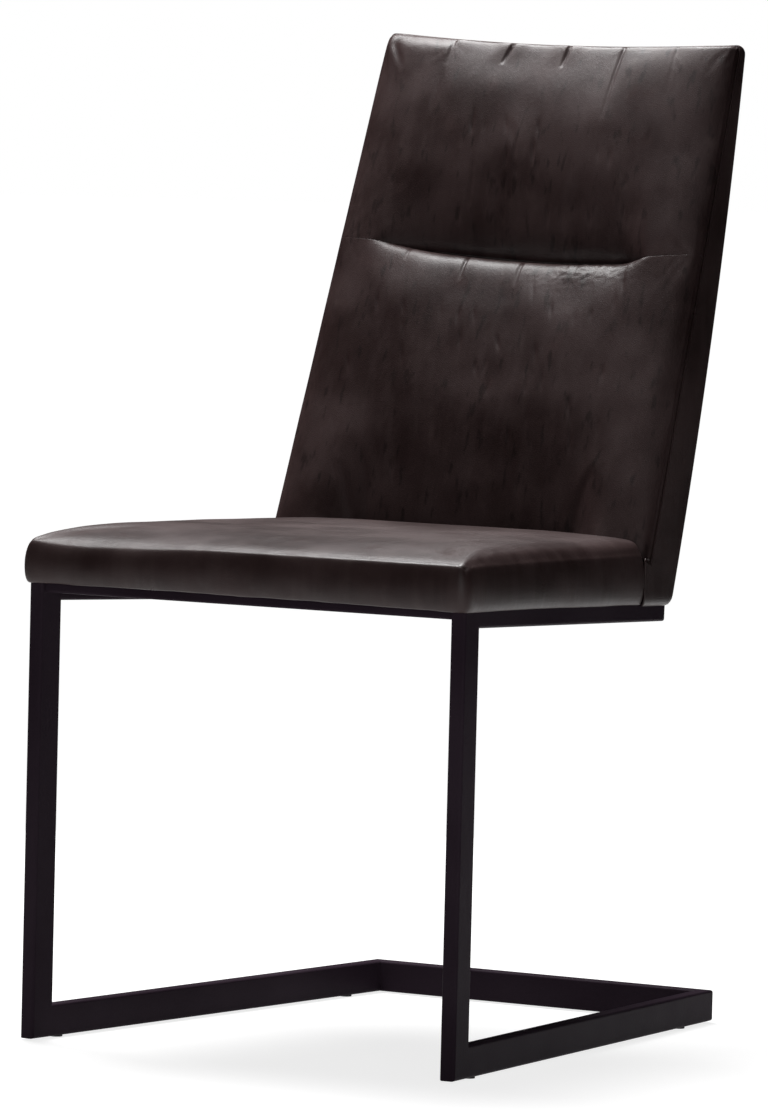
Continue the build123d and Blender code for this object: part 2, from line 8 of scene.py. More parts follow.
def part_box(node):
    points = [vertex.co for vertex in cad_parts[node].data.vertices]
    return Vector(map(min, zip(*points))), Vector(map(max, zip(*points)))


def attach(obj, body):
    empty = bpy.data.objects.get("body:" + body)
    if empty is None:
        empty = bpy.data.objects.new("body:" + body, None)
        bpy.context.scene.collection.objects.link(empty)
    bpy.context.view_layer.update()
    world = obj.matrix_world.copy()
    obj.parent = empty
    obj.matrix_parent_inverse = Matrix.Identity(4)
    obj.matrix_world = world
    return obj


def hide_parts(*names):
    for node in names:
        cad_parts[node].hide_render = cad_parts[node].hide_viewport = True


# A cantilever dining chair: steel base, leather seat and leaning leather back.
# Metres, +Z up, the sitter faces -Y, left and right as seen from the front.
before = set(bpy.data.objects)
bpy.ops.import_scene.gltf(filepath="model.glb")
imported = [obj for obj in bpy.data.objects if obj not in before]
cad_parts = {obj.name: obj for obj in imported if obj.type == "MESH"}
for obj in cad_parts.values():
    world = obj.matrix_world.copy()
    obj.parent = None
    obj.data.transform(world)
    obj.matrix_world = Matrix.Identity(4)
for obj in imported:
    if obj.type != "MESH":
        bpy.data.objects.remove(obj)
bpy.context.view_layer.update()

# Steel base: flat rectangular tube, mitred, welded and ground flush, then powder coated.
# The coat is a satin near black with a faint brown-violet cast and a fine orange-peel surface.
COAT_DARK = (0.029, 0.0185, 0.0275, 1)
COAT_LIGHT = (0.043, 0.0295, 0.041, 1)


class Socket:
    """An output in a finish's node tree. Sums written on it become Math nodes."""

    def __init__(self, tree, output):
        self.tree = tree
        self.output = output

    def node(self, kind, settings, sockets, output=0):
        """Any other node: its settings first, then the values or links of its sockets."""
        made = self.tree.nodes.new("ShaderNode" + kind)
        for name, value in settings.items():
            setattr(made, name, value)
        for name, value in sockets.items():
            if isinstance(value, Socket):
                self.tree.links.new(value.output, made.inputs[name])
            else:
                made.inputs[name].default_value = value
        return Socket(self.tree, made.outputs[output])

    def math(self, operation, first, second):
        return self.node("Math", {"operation": operation}, {0: first, 1: second})

    def __add__(self, other):
        return self.math("ADD", self, other)

    def __sub__(self, other):
        return self.math("SUBTRACT", self, other)

    def __rsub__(self, other):
        return self.math("SUBTRACT", other, self)

    def __mul__(self, other):
        return self.math("MULTIPLY", self, other)

    __radd__ = __add__
    __rmul__ = __mul__

    def between(self, low, high):
        """Share of the way from low to high, eased at both ends and held beyond them."""
        sockets = {"Value": self, "From Min": low, "From Max": high}
        return self.node("MapRange", {"interpolation_type": "SMOOTHSTEP"}, sockets)

    def tint(self, low, high):
        """Colour that goes from low to high as this share goes from 0 to 1."""
        return self.node("Mix", {"data_type": "RGBA"}, {0: self, 6: low, 7: high}, output=2)

    def stretch(self, factors):
        """A place with each of its coordinates multiplied."""
        return self.node("VectorMath", {"operation": "MULTIPLY"}, {0: self, 1: factors})

    def clouds(self, scale, detail=2.0):
        """Soft random pattern at a place, from 0 to 1, with this many features to a metre."""
        return self.node("TexNoise", {}, {"Vector": self, "Scale": scale, "Detail": detail})

    def cells(self, scale, feature="F1"):
        """Distance to the nearest cell of a random pattern at a place."""
        return self.node("TexVoronoi", {"feature": feature}, {"Vector": self, "Scale": scale})

    def relief(self, depth):
        """Normal of a surface raised by this height times a depth in metres."""
        return self.node("Bump", {}, {"Height": self, "Distance": depth, "Strength": 1.0})


def finish(name, paint, constants):
    """Material whose varying sockets come from paint, and the rest are set on its shader."""
    material = bpy.data.materials.new(name)
    material.use_nodes = True
    tree = material.node_tree
    shader = tree.nodes["Principled BSDF"]
    for socket, value in constants.items():
        shader.inputs[socket].default_value = value
    place = Socket(tree, tree.nodes.new("ShaderNodeTexCoord").outputs["Object"])
    for socket, value in paint(place).items():
        tree.links.new(value.output, shader.inputs[socket])
    return material


def wear(piece, material):
    """Give a piece one material all over."""
    piece.data.materials.clear()
    piece.data.materials.append(material)


def powder_coat(place):
    blotches = place.clouds(7).between(0.3, 0.7)
    peel = place.clouds(420, detail=1)
    return {
        "Base Color": blotches.tint(COAT_DARK, COAT_LIGHT),
        "Roughness": 0.4 + 0.1 * place.clouds(35),
        "Normal": (peel + 0.4 * place.clouds(1600)).relief(0.00012),
    }


coated_steel = finish("coated_steel", powder_coat, {"Specular IOR Level": 0.03})
SIDES = ("left", "right")
SIDE_TUBES = [f"{side}_{tube}" for side in SIDES for tube in ("leg", "runner", "seat_rail")]
for node in SIDE_TUBES + ["rear_floor_bar", "front_seat_bar", "rear_seat_bar", "seat_tabs"]:
    wear(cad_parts[node], coated_steel)

# Plugs in the rear ends of the rails and glides under the runners: moulded black plastic.
# Both are pushed in, and have a fine spark-textured surface.
PLASTIC_DARK = (0.012, 0.012, 0.013, 1)
PLASTIC_LIGHT = (0.022, 0.022, 0.023, 1)


def moulded_plastic(place):
    texture = place.clouds(2600, detail=3)
    return {
        "Base Color": place.clouds(90).tint(PLASTIC_DARK, PLASTIC_LIGHT),
        "Roughness": 0.5 + 0.12 * texture,
        "Normal": texture.relief(0.00006),
    }


black_plastic = finish("black_plastic", moulded_plastic, {"Specular IOR Level": 0.4})
for node in ("rail_end_caps", "floor_glides"):
    wear(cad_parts[node], black_plastic)

# Bolts, T-nuts and screws: steel with a bright zinc plate, dulled in patches.
ZINC_DULL = (0.42, 0.43, 0.44, 1)
ZINC_BRIGHT = (0.68, 0.69, 0.7, 1)


def zinc_plate(place):
    patches = place.clouds(160, detail=3).between(0.35, 0.65)
    return {
        "Base Color": patches.tint(ZINC_DULL, ZINC_BRIGHT),
        "Roughness": 0.42 - 0.14 * patches,
        "Normal": place.clouds(3000).relief(0.00002),
    }


zinc = finish("zinc_plate", zinc_plate, {"Metallic": 1.0})
for node in ("seat_bolts", "seat_t_nuts", "panel_screws"):
    wear(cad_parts[node], zinc)

# Seat board and back panel: sanded birch plywood, bare, with its grain along one direction.
PLY_PALE = (0.52, 0.37, 0.22, 1)
PLY_DARK = (0.3, 0.18, 0.09, 1)


def birch_ply(grain):
    """Plywood whose grain runs along one axis, given as how much each axis is squeezed."""
    def paint(place):
        lines = place.stretch(grain).clouds(1.0, detail=5)
        pores = place.stretch(grain).clouds(9.0, detail=2)
        tone = (lines * 0.75 + pores * 0.25).between(0.3, 0.72)
        return {
            "Base Color": tone.tint(PLY_PALE, PLY_DARK),
            "Roughness": 0.62 + 0.15 * lines,
            "Normal": (lines + 0.5 * pores).relief(0.0001),
        }
    return paint


wear(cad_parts["seat_board"], finish("seat_plywood", birch_ply((9, 130, 130)), {}))
wear(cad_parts["back_panel"], finish("back_plywood", birch_ply((130, 9, 9)), {}))

# Uprights and flat bars inside the back: mild steel in a plain matt black primer.
PRIMER_DARK = (0.02, 0.02, 0.02, 1)
PRIMER_LIGHT = (0.045, 0.044, 0.042, 1)


def primer(place):
    mottle = place.clouds(60, detail=4)
    return {
        "Base Color": mottle.tint(PRIMER_DARK, PRIMER_LIGHT),
        "Roughness": 0.65 + 0.2 * mottle,
        "Normal": place.clouds(900).relief(0.00008),
    }


primed_steel = finish("primed_steel", primer, {})
for node in [f"{side}_back_upright" for side in SIDES] + ["back_top_bar", "back_lower_bar"]:
    wear(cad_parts[node], primed_steel)

# Dust covers: thin black spunbond cloth stretched under the seat board, and across the back's
# foot between the rails. Each is stapled along its edges and hangs a little in the middle.
CLOTH_DARK = (0.012, 0.012, 0.013, 1)
CLOTH_LIGHT = (0.035, 0.035, 0.036, 1)
CLOTH_PITCH = 0.006
CLOTH_SAG = 0.0015
CLOTH_THICKNESS = 0.0004


def spunbond(place):
    fibres = place.stretch((1, 0.35, 1)).clouds(900, detail=4)
    bonds = place.cells(520).between(0.25, 0.45)
    return {
        "Base Color": fibres.tint(CLOTH_DARK, CLOTH_LIGHT),
        "Roughness": 0.8 + 0.15 * fibres,
        "Normal": (fibres * 0.5 + bonds * 0.5).relief(0.00015),
    }


dust_cloth = finish("dust_cloth", spunbond, {"Specular IOR Level": 0.2})


def mesh_piece(name, points, faces, material):
    """A smooth-shaded mesh object in the chair's frame."""
    mesh = bpy.data.meshes.new(name)
    mesh.from_pydata([tuple(point) for point in points], [], faces)
    mesh.polygons.foreach_set("use_smooth", [True] * len(mesh.polygons))
    mesh.update()
    piece = bpy.data.objects.new(name, mesh)
    bpy.context.scene.collection.objects.link(piece)
    wear(piece, material)
    return piece


def keep_modifiers(piece):
    """Turn a piece's modifiers into plain mesh."""
    graph = bpy.context.evaluated_depsgraph_get()
    mesh = bpy.data.meshes.new_from_object(piece.evaluated_get(graph))
    piece.modifiers.clear()
    piece.data = mesh


def thicken(piece, thickness):
    """Give a surface its thickness, on the side away from its normals."""
    solid = piece.modifiers.new("thickness", "SOLIDIFY")
    solid.thickness = thickness
    solid.offset = -1
    keep_modifiers(piece)


def grid_faces(columns, rows):
    """Quads of a grid whose points are counted row by row within each column."""
    return [
        (i * rows + j, (i + 1) * rows + j, (i + 1) * rows + j + 1, i * rows + j + 1)
        for i in range(columns - 1)
        for j in range(rows - 1)
    ]


def plan_of(node):
    """A four-sided level node's plan: front and rear half widths and depths, and their heights."""
    points = np.array([vertex.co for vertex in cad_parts[node].data.vertices])
    front = points[points[:, 1] < points[:, 1].min() + CLOTH_PITCH / 2]
    rear = points[points[:, 1] > points[:, 1].max() - CLOTH_PITCH / 2]
    return [(end[:, 0].max(), end[:, 1].mean(), end[:, 2].max()) for end in (front, rear)]


def dust_sheet(name, node):
    (front_half, front_y, front_z), (rear_half, rear_y, rear_z) = plan_of(node)
    columns = round(2 * front_half / CLOTH_PITCH)
    rows = round((rear_y - front_y) / CLOTH_PITCH)
    across, along = np.meshgrid(np.linspace(-1, 1, columns), np.linspace(0, 1, rows), indexing="ij")
    half = front_half + (rear_half - front_half) * along
    sag = CLOTH_SAG * (1 - across**2) * 4 * along * (1 - along)
    height = front_z + (rear_z - front_z) * along - CLOTH_THICKNESS - sag
    points = np.stack([across * half, front_y + (rear_y - front_y) * along, height], axis=-1)
    sheet = mesh_piece(name, points.reshape(-1, 3), grid_faces(columns, rows), dust_cloth)
    thicken(sheet, CLOTH_THICKNESS)
    length = rear_y - front_y
    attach(sheet, "root")
    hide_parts(node)
    area = (front_half + rear_half) * length
    2 * front_half


dust_sheet("seat_dust_sheet", "seat_dust_cover")
dust_sheet("back_dust_sheet", "back_dust_cover")

# Seat: a foam block on the board under a drum-tight leather cover. The cover is sewn with a
# folded edge along the front, rolls softly over the sides, and hangs over the rails as a skirt.
LEATHER_THICKNESS = 0.0015
SEAT_PITCH = 0.0045
SEAT_EDGE_STEP = 0.0012
STEP_GROWTH = 1.3
OUTLINE_PASSES = 4
SEAT_SWELL = 0.0015
FRONT_HALF_WIDTH = 0.2355
TOE = radians(4.65)
FRONT_OVERHANG = 0.008
SIDE_OVERHANG = 0.0045
SEAT_SKIRT = 0.014
RAIL_FALL = radians(2.1)
SEAT_TOP_SLOPE = radians(0.9)
FOLD_HEIGHT = 0.041
FOLD_INSET = 0.0042
SEAT_CORNERS = (0.0065, 0.0015)
# Height of the top over the fold, against the distance in from it: at the front, and at the sides
FRONT_RISE = ((0, 0), (0.003, 0.0021), (0.008, 0.0043), (0.018, 0.0067), (0.042, 0.0096), (0.085, 0.0122),
              (0.16, 0.0143), (0.4, 0.0156))
SIDE_RISE = ((0, 0), (0.0035, 0.0066), (0.008, 0.0104), (0.014, 0.0121), (0.037, 0.0138), (0.072, 0.015),
             (0.117, 0.0156), (0.3, 0.0156))
SEAT_CROWN = 0.0156
# The wall from the fold to the hem and in under it: outward, and share of the way down
SEAT_WALL = ((0.0, 0.0), (0.0013, 0.03), (0.0026, 0.1), (0.0042, 0.25), (0.0052, 0.45), (0.0052, 0.65),
             (0.0042, 0.84), (0.0028, 0.945), (0.0012, 0.995), (-0.0006, 1.0), (-0.0018, 0.97), (-0.002, 0.9))
# The fold is softer towards the left, where the leather is stretched over the corner.
SOFT_OVER = 0.16
SOFT_EASE = 1.5
SOFT_DROP = 0.0042
SOFT_REACH = 0.012
SOFT_SIDE = 0.03
SOFT_LEAN = 0.004
SOFT_LEAN_REACH = 0.04
# The hem hangs a little lower at the right front corner.
HEM_SAG = 0.0022
HEM_SAG_REACH = 0.08
SEAT_BILLOW = 0.0005
SEAT_BILLOW_SIZE = 0.05
FOLD_WAVE = 0.0005
FOLD_WAVE_SIZE = 0.022
FOLD_WAVE_REACH = 0.012

LEATHER_DEEP = (0.027, 0.0142, 0.0138, 1)
LEATHER_PLAIN = (0.052, 0.0305, 0.03, 1)
LEATHER_RUBBED = (0.08, 0.054, 0.053, 1)
# Dark colour painted on the back pads as the shade of small upright creases
LEATHER_CREASE_SHADE = (0.013, 0.0068, 0.0066, 1)


def waxed_leather(shade_share):
    """Leather with wax clouds, rubbed patches and, by a share, dark upright marks painted on as crease shade.
    """
    def paint(place):
        clouds = place.clouds(11, detail=4).between(0.32, 0.7)
        streaks = place.stretch((60, 60, 7)).clouds(1.0, detail=3).between(0.4, 0.75)
        rubbed = place.clouds(34, detail=5).between(0.55, 0.8)
        grain = place.cells(620, feature="DISTANCE_TO_EDGE").between(0.0, 0.35)
        pores = place.clouds(1500, detail=2)
        creases = place.stretch((150, 150, 45)).clouds(1.0, detail=3)
        # Dark upright marks: painted shade of small creases, laid on by the share given
        painted_crease_shade = place.stretch((130, 60, 38)).clouds(1.0, detail=2).between(0.58, 0.72)
        tone = clouds.tint(LEATHER_DEEP, LEATHER_PLAIN)
        tone = (rubbed * 0.5 + streaks * 0.3).tint(tone, LEATHER_RUBBED)
        return {
            "Base Color": (painted_crease_shade * shade_share).tint(tone, LEATHER_CREASE_SHADE),
            "Roughness": 0.36 + 0.1 * clouds - 0.12 * rubbed,
            "Normal": (grain * 0.35 + pores * 0.25 + creases * 1.2).relief(0.00016),
        }
    return paint


LEATHER_GLOSS = {"Specular IOR Level": 0.3}
leather = finish("waxed_leather", waxed_leather(0.0), LEATHER_GLOSS)


def eased(knots):
    """A smooth function through points, with no swing beyond them."""
    at, value = np.array(knots, float).T
    slope = np.diff(value) / np.diff(at)
    steep = np.zeros(len(at))
    turning = slope[:-1] * slope[1:] <= 0
    joint = 2 * slope[:-1] * slope[1:] / np.where(turning, 1, slope[:-1] + slope[1:])
    steep[1:-1] = np.where(turning, 0, joint)
    steep[0] = slope[0]

    def curve(x):
        x = np.clip(x, at[0], at[-1])
        k = np.clip(np.searchsorted(at, x) - 1, 0, len(slope) - 1)
        width = at[k + 1] - at[k]
        t = (x - at[k]) / width
        start = (1 + 2 * t) * (1 - t) ** 2 * value[k] + t * (1 - t) ** 2 * width * steep[k]
        return start + t**2 * (3 - 2 * t) * value[k + 1] - t**2 * (1 - t) * width * steep[k + 1]

    return curve


def rule(length, first, pitch):
    """Places along a length, from 0 to 1: close together at both ends, then a pitch apart."""
    ends = [0.0]
    step = first
    while step < pitch:
        ends.append(ends[-1] + step)
        step *= STEP_GROWTH
    count = max(2, round((length - 2 * ends[-1]) / pitch))
    middle = np.linspace(ends[-1], length - ends[-1], count + 1)
    ends = np.array(ends[:-1])
    return np.concatenate([ends, middle, length - ends[::-1]]) / length


def round_corner(inset_across, inset_along, radius):
    """Insets from two edges, moved so that the corner between them is round."""
    near = (inset_across < radius) & (inset_along < radius)
    across = np.where(near, radius - inset_across, 0) / radius
    along = np.where(near, radius - inset_along, 0) / radius
    new_across = radius - radius * across * np.sqrt(1 - along**2 / 2)
    new_along = radius - radius * along * np.sqrt(1 - across**2 / 2)
    return np.where(near, new_across, inset_across), np.where(near, new_along, inset_along)


def padded_form(name, half, low, high, corners, rise, wall, base, place, first, pitch):
    """A padded cover: a face raised over an outline, and a wall from its edge to a base.

    half(y) is the outline's half width, low(x) and high(x) are its two ends, rise gives the face's
    height from the place and the insets from side, low and high edge, and base the wall's foot."""
    length = high(0.0) - low(0.0)
    width = 2 * half(low(0.0) + length / 2)
    a, b = np.meshgrid(rule(width, first, pitch), rule(length, first, pitch), indexing="ij")
    x = np.zeros_like(a)
    for _ in range(OUTLINE_PASSES):
        y = low(x) + b * (high(x) - low(x))
        x = (2 * a - 1) * half(y)
    side, near_low, near_high = half(y) - abs(x), y - low(x), high(x) - y
    height = rise(x, y, side, near_low, near_high)
    inset, near_low = round_corner(side, near_low, corners[0])
    inset, near_high = round_corner(inset, near_high, corners[1])
    y = np.where(b < 0.5, low(x) + near_low, high(x) - near_high)
    x = np.sign(a - 0.5) * (half(y) - inset)
    columns, rows = a.shape
    faces = grid_faces(columns, rows)
    points = np.stack([x, y, height], axis=-1).reshape(-1, 3)
    index = np.arange(columns * rows).reshape(columns, rows)
    edge = np.concatenate([index[:-1, 0], index[-1, :-1], index[:0:-1, -1], index[0, :0:-1]])
    rim = points[edge]
    run = np.roll(rim, -1, axis=0) - np.roll(rim, 1, axis=0)
    outward = np.stack([run[:, 1], -run[:, 0], 0 * run[:, 0]], axis=-1)
    outward /= np.linalg.norm(outward, axis=1)[:, None]
    foot = base(rim[:, 0], rim[:, 1])
    rings = [edge]
    for out, share in wall[1:]:
        ring = rim + out * outward
        ring[:, 2] = rim[:, 2] + (foot - rim[:, 2]) * share
        rings.append(np.arange(len(points), len(points) + len(ring)))
        points = np.concatenate([points, ring])
    for upper, lower in zip(rings, rings[1:]):
        after_upper, after_lower = np.roll(upper, -1), np.roll(lower, -1)
        faces += np.stack([upper, lower, after_lower, after_upper], axis=-1).tolist()
    piece = mesh_piece(name, place(points), faces, leather)
    piece.vertex_groups.new(name="held").add(np.concatenate(rings).tolist(), 1.0, "REPLACE")
    return piece


SETTLE_FRAMES = 20
SETTLE_PRESSURE = 4.0
SETTLE_QUALITY = 5
LEAST_MOVE = 1e-6


def points_of(piece):
    """A piece's points as rows of three numbers."""
    points = np.empty(3 * len(piece.data.vertices))
    piece.data.vertices.foreach_get("co", points)
    return points.reshape(-1, 3)


def settle(piece, swell):
    """Blow a cover up over its foam by cloth simulation, by less than swell, and keep the shape."""
    before = points_of(piece)
    cloth = piece.modifiers.new("settle", "CLOTH")
    cloth.settings.quality = SETTLE_QUALITY
    cloth.settings.vertex_group_mass = "held"
    cloth.settings.use_pressure = True
    cloth.settings.uniform_pressure_force = SETTLE_PRESSURE
    cloth.settings.effector_weights.gravity = 0
    cloth.collision_settings.use_collision = False
    cloth.point_cache.frame_end = SETTLE_FRAMES
    for step in range(1, SETTLE_FRAMES + 1):
        bpy.context.scene.frame_set(step)
    keep_modifiers(piece)
    bpy.context.scene.frame_set(1)
    move = points_of(piece) - before
    far = np.linalg.norm(move, axis=1)[:, None] / swell
    after = before + move * np.tanh(far) / np.maximum(far, LEAST_MOVE)
    piece.data.vertices.foreach_set("co", after.ravel())
    piece.data.update()


def refine(piece):
    """One smooth subdivision, kept as mesh."""
    piece.modifiers.new("refine", "SUBSURF").levels = 1
    keep_modifiers(piece)


LEG_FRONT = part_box("seat_cover")[0].y + FRONT_OVERHANG
RAIL_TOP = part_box("left_seat_rail")[1].z
SEAT_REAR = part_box("seat_cover")[1].y - LEG_FRONT
front_rise = eased(FRONT_RISE)
side_rise = eased(SIDE_RISE)


def half_width(depth, outward=0.0):
    """Half the width, at a depth from the legs' fronts, between the side frames' outer faces."""
    return FRONT_HALF_WIDTH + outward / cos(TOE) - depth * tan(TOE)


def seat_half(depth):
    return half_width(depth, SIDE_OVERHANG - FOLD_INSET)


def seat_front(x):
    return FOLD_INSET - FRONT_OVERHANG + 0 * x


def seat_rear(x):
    return SEAT_REAR + 0 * x


def softness(x, side):
    """How soft the fold is: more to the left, but not at the corner itself."""
    return np.clip(-x / SOFT_OVER, 0, 1) ** SOFT_EASE * (1 - np.exp(-side / SOFT_SIDE))


def joined(*drops):
    """Drops below the crown from several edges, taken together."""
    return sum(np.maximum(drop, 0) ** 3 for drop in drops) ** (1 / 3)


def seat_rise(x, depth, side, front, rear):
    """Height of the seat's top over its hem line, lowest where the front and a side meet."""
    drop = joined(SEAT_CROWN - front_rise(front), SEAT_CROWN - side_rise(side))
    drop = drop + SOFT_DROP * softness(x, side) * np.exp(-front / SOFT_REACH)
    return FOLD_HEIGHT + SEAT_CROWN - drop


def seat_hem(x, depth):
    return -HEM_SAG * np.exp(-np.hypot(x - FRONT_HALF_WIDTH, depth) / HEM_SAG_REACH)


def on_seat(points):
    """Points over the hem line, taken to the chair's frame: the top falls less than the rails."""
    x, depth, height = points.T
    depth = np.minimum(depth, SEAT_REAR)
    soft = softness(x, np.maximum(seat_half(depth) - abs(x), 0))
    upper = np.clip(2 * height / FOLD_HEIGHT - 1, 0, 1) ** 2
    depth = depth + SOFT_LEAN * soft * upper * np.exp(-np.maximum(depth, 0) / SOFT_LEAN_REACH)
    share = np.clip(height / FOLD_HEIGHT, 0, 1)
    slope = tan(RAIL_FALL) + (tan(SEAT_TOP_SLOPE) - tan(RAIL_FALL)) * share
    return np.stack([x, depth + LEG_FRONT, RAIL_TOP - SEAT_SKIRT + height - depth * slope], axis=-1)


seat = padded_form(
    "seat_leather", seat_half, seat_front, seat_rear, SEAT_CORNERS, seat_rise, SEAT_WALL, seat_hem, on_seat,
    SEAT_EDGE_STEP, SEAT_PITCH,
)


def sculpt(piece, shape):
    """Move a piece's points along their normals by what shape gives for them."""
    points = points_of(piece)
    normals = np.empty(points.size)
    piece.data.vertices.foreach_get("normal", normals)
    points += normals.reshape(-1, 3) * shape(points)[:, None]
    piece.data.vertices.foreach_set("co", points.ravel())
    piece.data.update()


def billows(points, size):
    """Soft random swelling of the leather, from about -1 to 1."""
    return np.array([noise.noise(Vector(point) / size) for point in points])


def uneven_seat(points):
    """Slight unevenness of the seat's leather, more so along the fold at its front."""
    near_fold = np.exp(-((points[:, 1] - LEG_FRONT + FRONT_OVERHANG) / FOLD_WAVE_REACH) ** 2)
    fold = FOLD_WAVE * near_fold * billows(points, FOLD_WAVE_SIZE)
    return fold + SEAT_BILLOW * billows(points, SEAT_BILLOW_SIZE)


settle(seat, SEAT_SWELL)
refine(seat)
sculpt(seat, uneven_seat)
thicken(seat, LEATHER_THICKNESS)
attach(seat, "root")
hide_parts("seat_cover", "seat_foam")

# Back pads: two leather-covered foam pads on the back panel, meeting in a curved pulled seam.
# The seam is deep in the middle and runs out towards the sides, where both pads lie flush. The
# leather is gathered in tucks at the seam and the top, and pulled into fine upright creases; dark
# upright marks are painted into its colour as the shade of small creases.
PAD_PITCH = 0.003
PAD_EDGE_STEP = 0.0011
PAD_THICKNESS = 0.014
PAD_FOOT_RISE = 0.0164
BACK_RISE = 0.5054
BACK_LEAN = radians(19.6)
TOP_DIP = 0.007
SEAM_RISE = 0.3
SEAM_DIP = 0.014
SEAM_TILT = -0.0075
SEAM_SKEW = -0.006
SEAM_LIFT = 0.004
PAD_OVERLAP = 0.0002
SEAM_STEP = 0.03
# How the seam's pull fades to each side, in shares of the half width: from where, and over how much
LEFT_PULL_FADE = (0.45, 0.48)
RIGHT_PULL_FADE = (0.56, 0.26)
# The lower pad rolls into the seam more softly at its left end.
SOFT_SEAM_FROM = -0.105
SOFT_SEAM_OVER = 0.055
SOFT_SEAM_SHARE = 0.7
SOFT_SEAM_REACH = 0.025
TOP_TILT = -0.01
PAD_SWELL = 0.004
PAD_RIM = 0.0065
PAD_INSET = 0.0013
LOWER_CORNERS = (0.0008, 0.0006)
UPPER_CORNERS = (0.0006, 0.004)
# Level of the face over the pad's rim, against the distance in: at sides and ends, and at the seam
EDGE_RISE = ((0, 0), (0.0025, 0.003), (0.006, 0.0052), (0.011, 0.0068), (0.023, 0.0097), (0.045, 0.0135),
             (0.08, 0.0175), (0.14, 0.021), (0.3, 0.021))
TOP_RISE = ((0, 0), (0.001, 0.0034), (0.0022, 0.0056), (0.0034, 0.0066), (0.007, 0.0078), (0.015, 0.0098),
            (0.03, 0.0134), (0.06, 0.0185), (0.1, 0.021), (0.3, 0.021))
FULL_RISE = ((0, 0), (0.001, 0.004), (0.0022, 0.007), (0.0034, 0.0084), (0.007, 0.0098), (0.015, 0.012),
             (0.03, 0.0152), (0.06, 0.019), (0.1, 0.021), (0.3, 0.021))
ROLLED_RISE = ((0, 0), (0.0014, 0.0026), (0.004, 0.005), (0.011, 0.0105), (0.016, 0.0122), (0.03, 0.014),
               (0.06, 0.0182), (0.1, 0.021), (0.3, 0.021))
UPPER_SEAM_RISE = ((0, -0.008), (0.003, -0.0045), (0.01, 0.0), (0.022, 0.004), (0.045, 0.009), (0.08, 0.015),
                   (0.12, 0.0196), (0.15, 0.021), (0.3, 0.021))
LOWER_SEAM_RISE = ((0, -0.006), (0.0015, -0.0006), (0.0045, 0.005), (0.01, 0.009), (0.02, 0.0125),
                   (0.035, 0.0157), (0.06, 0.0189), (0.09, 0.0208), (0.115, 0.021), (0.16, 0.0174),
                   (0.22, 0.0092), (0.3, -0.003))
PAD_WALL = ((0.0, 0.0), (0.0002, 0.025), (0.0007, 0.12), (0.0011, 0.3), (0.0013, 0.55), (0.0013, 0.97),
            (0.0013, 1.0), (0.001, 1.0), (-0.003, 1.0))
ROLLED_TO = -0.113
ROLLED_OVER = 0.006
FULL_FROM = 0.085
FULL_OVER = 0.02

BACK_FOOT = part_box("rear_back_cover")[0].y - LEG_FRONT
PAD_FOOT = RAIL_TOP + PAD_FOOT_RISE
edge_rise = eased(EDGE_RISE)
top_rise = eased(TOP_RISE)
rolled_rise = eased(ROLLED_RISE)
full_rise = eased(FULL_RISE)
PAD_CROWN = EDGE_RISE[-1][1]


def up_the_back(height):
    """Distance up the back's front plane to a height."""
    return (height - PAD_FOOT) / cos(BACK_LEAN)


def back_half(up):
    depth = BACK_FOOT + up * sin(BACK_LEAN) + PAD_RIM * cos(BACK_LEAN)
    return half_width(depth, SIDE_OVERHANG - PAD_INSET)


def pad_foot(x):
    return PAD_INSET + 0 * x


def back_top(x):
    high = up_the_back(RAIL_TOP + BACK_RISE) - PAD_INSET
    return high + TOP_TILT * x - TOP_DIP * (1 - (x / back_half(high)) ** 2)


def seam(x):
    middle = up_the_back(RAIL_TOP + SEAM_RISE) + SEAM_LIFT
    share = x / back_half(middle)
    return middle + SEAM_TILT * x - SEAM_DIP * (1 - share**2) + SEAM_SKEW * (share - share**3)


def lower_pad_top(x):
    return seam(x) + PAD_OVERLAP


def upper_pad_foot(x):
    return seam(x) - PAD_OVERLAP


def pull(x, up):
    """How far the seam is pulled in across the back: fully in the middle, and little at the sides."""
    start, over = (np.where(x < 0, left, right) for left, right in zip(LEFT_PULL_FADE, RIGHT_PULL_FADE))
    share = np.clip((abs(x) / back_half(up) - start) / over, 0, 1)
    return 1 - share * share * (3 - 2 * share)


def hidden_foot(x, inset):
    """The lower pad's foot goes down behind the seat at full thickness."""
    return PAD_CROWN


def folded_top(x, inset):
    """The upper pad's top edge is folded tight, rolled softly at the left, and fuller at the right."""
    rolled = np.clip((ROLLED_TO - x) / ROLLED_OVER + 0.5, 0, 1)
    full = np.clip((x - FULL_FROM) / FULL_OVER + 0.5, 0, 1)
    folded = 1 - rolled - full
    return folded * top_rise(inset) + rolled * rolled_rise(inset) + full * full_rise(inset)


def softened(x, inset):
    """Inset from the seam, taken as less near the seam's left end, so that the roll is wider there."""
    soft = SOFT_SEAM_SHARE * np.clip((SOFT_SEAM_FROM - x) / SOFT_SEAM_OVER, 0, 1)
    return inset - soft * SOFT_SEAM_REACH * (1 - np.exp(-inset / SOFT_SEAM_REACH))


def pad_rise(seam_curve, end_level, seam_is_low):
    """Level of a pad's face, with its seam at its low or high end and a plain edge at the other.

    At the sides the lower pad, whose seam is high, stays a little under the upper one."""
    def level(x, up, side, near_low, near_high):
        seam_inset, end_inset = (near_low, near_high) if seam_is_low else (near_high, near_low)
        least = 0 if seam_is_low else SEAM_STEP
        side_drop = PAD_CROWN - edge_rise(side)
        seam_level = seam_curve(seam_inset if seam_is_low else softened(x, seam_inset))
        seam_drop = (PAD_CROWN - seam_level) * (least + (1 - least) * pull(x, up))
        end_drop = PAD_CROWN - end_level(x, end_inset)
        return PAD_CROWN - joined(side_drop, seam_drop, end_drop) - PAD_RIM
    return level


def pad_base(x, up):
    return -PAD_THICKNESS + 0 * x


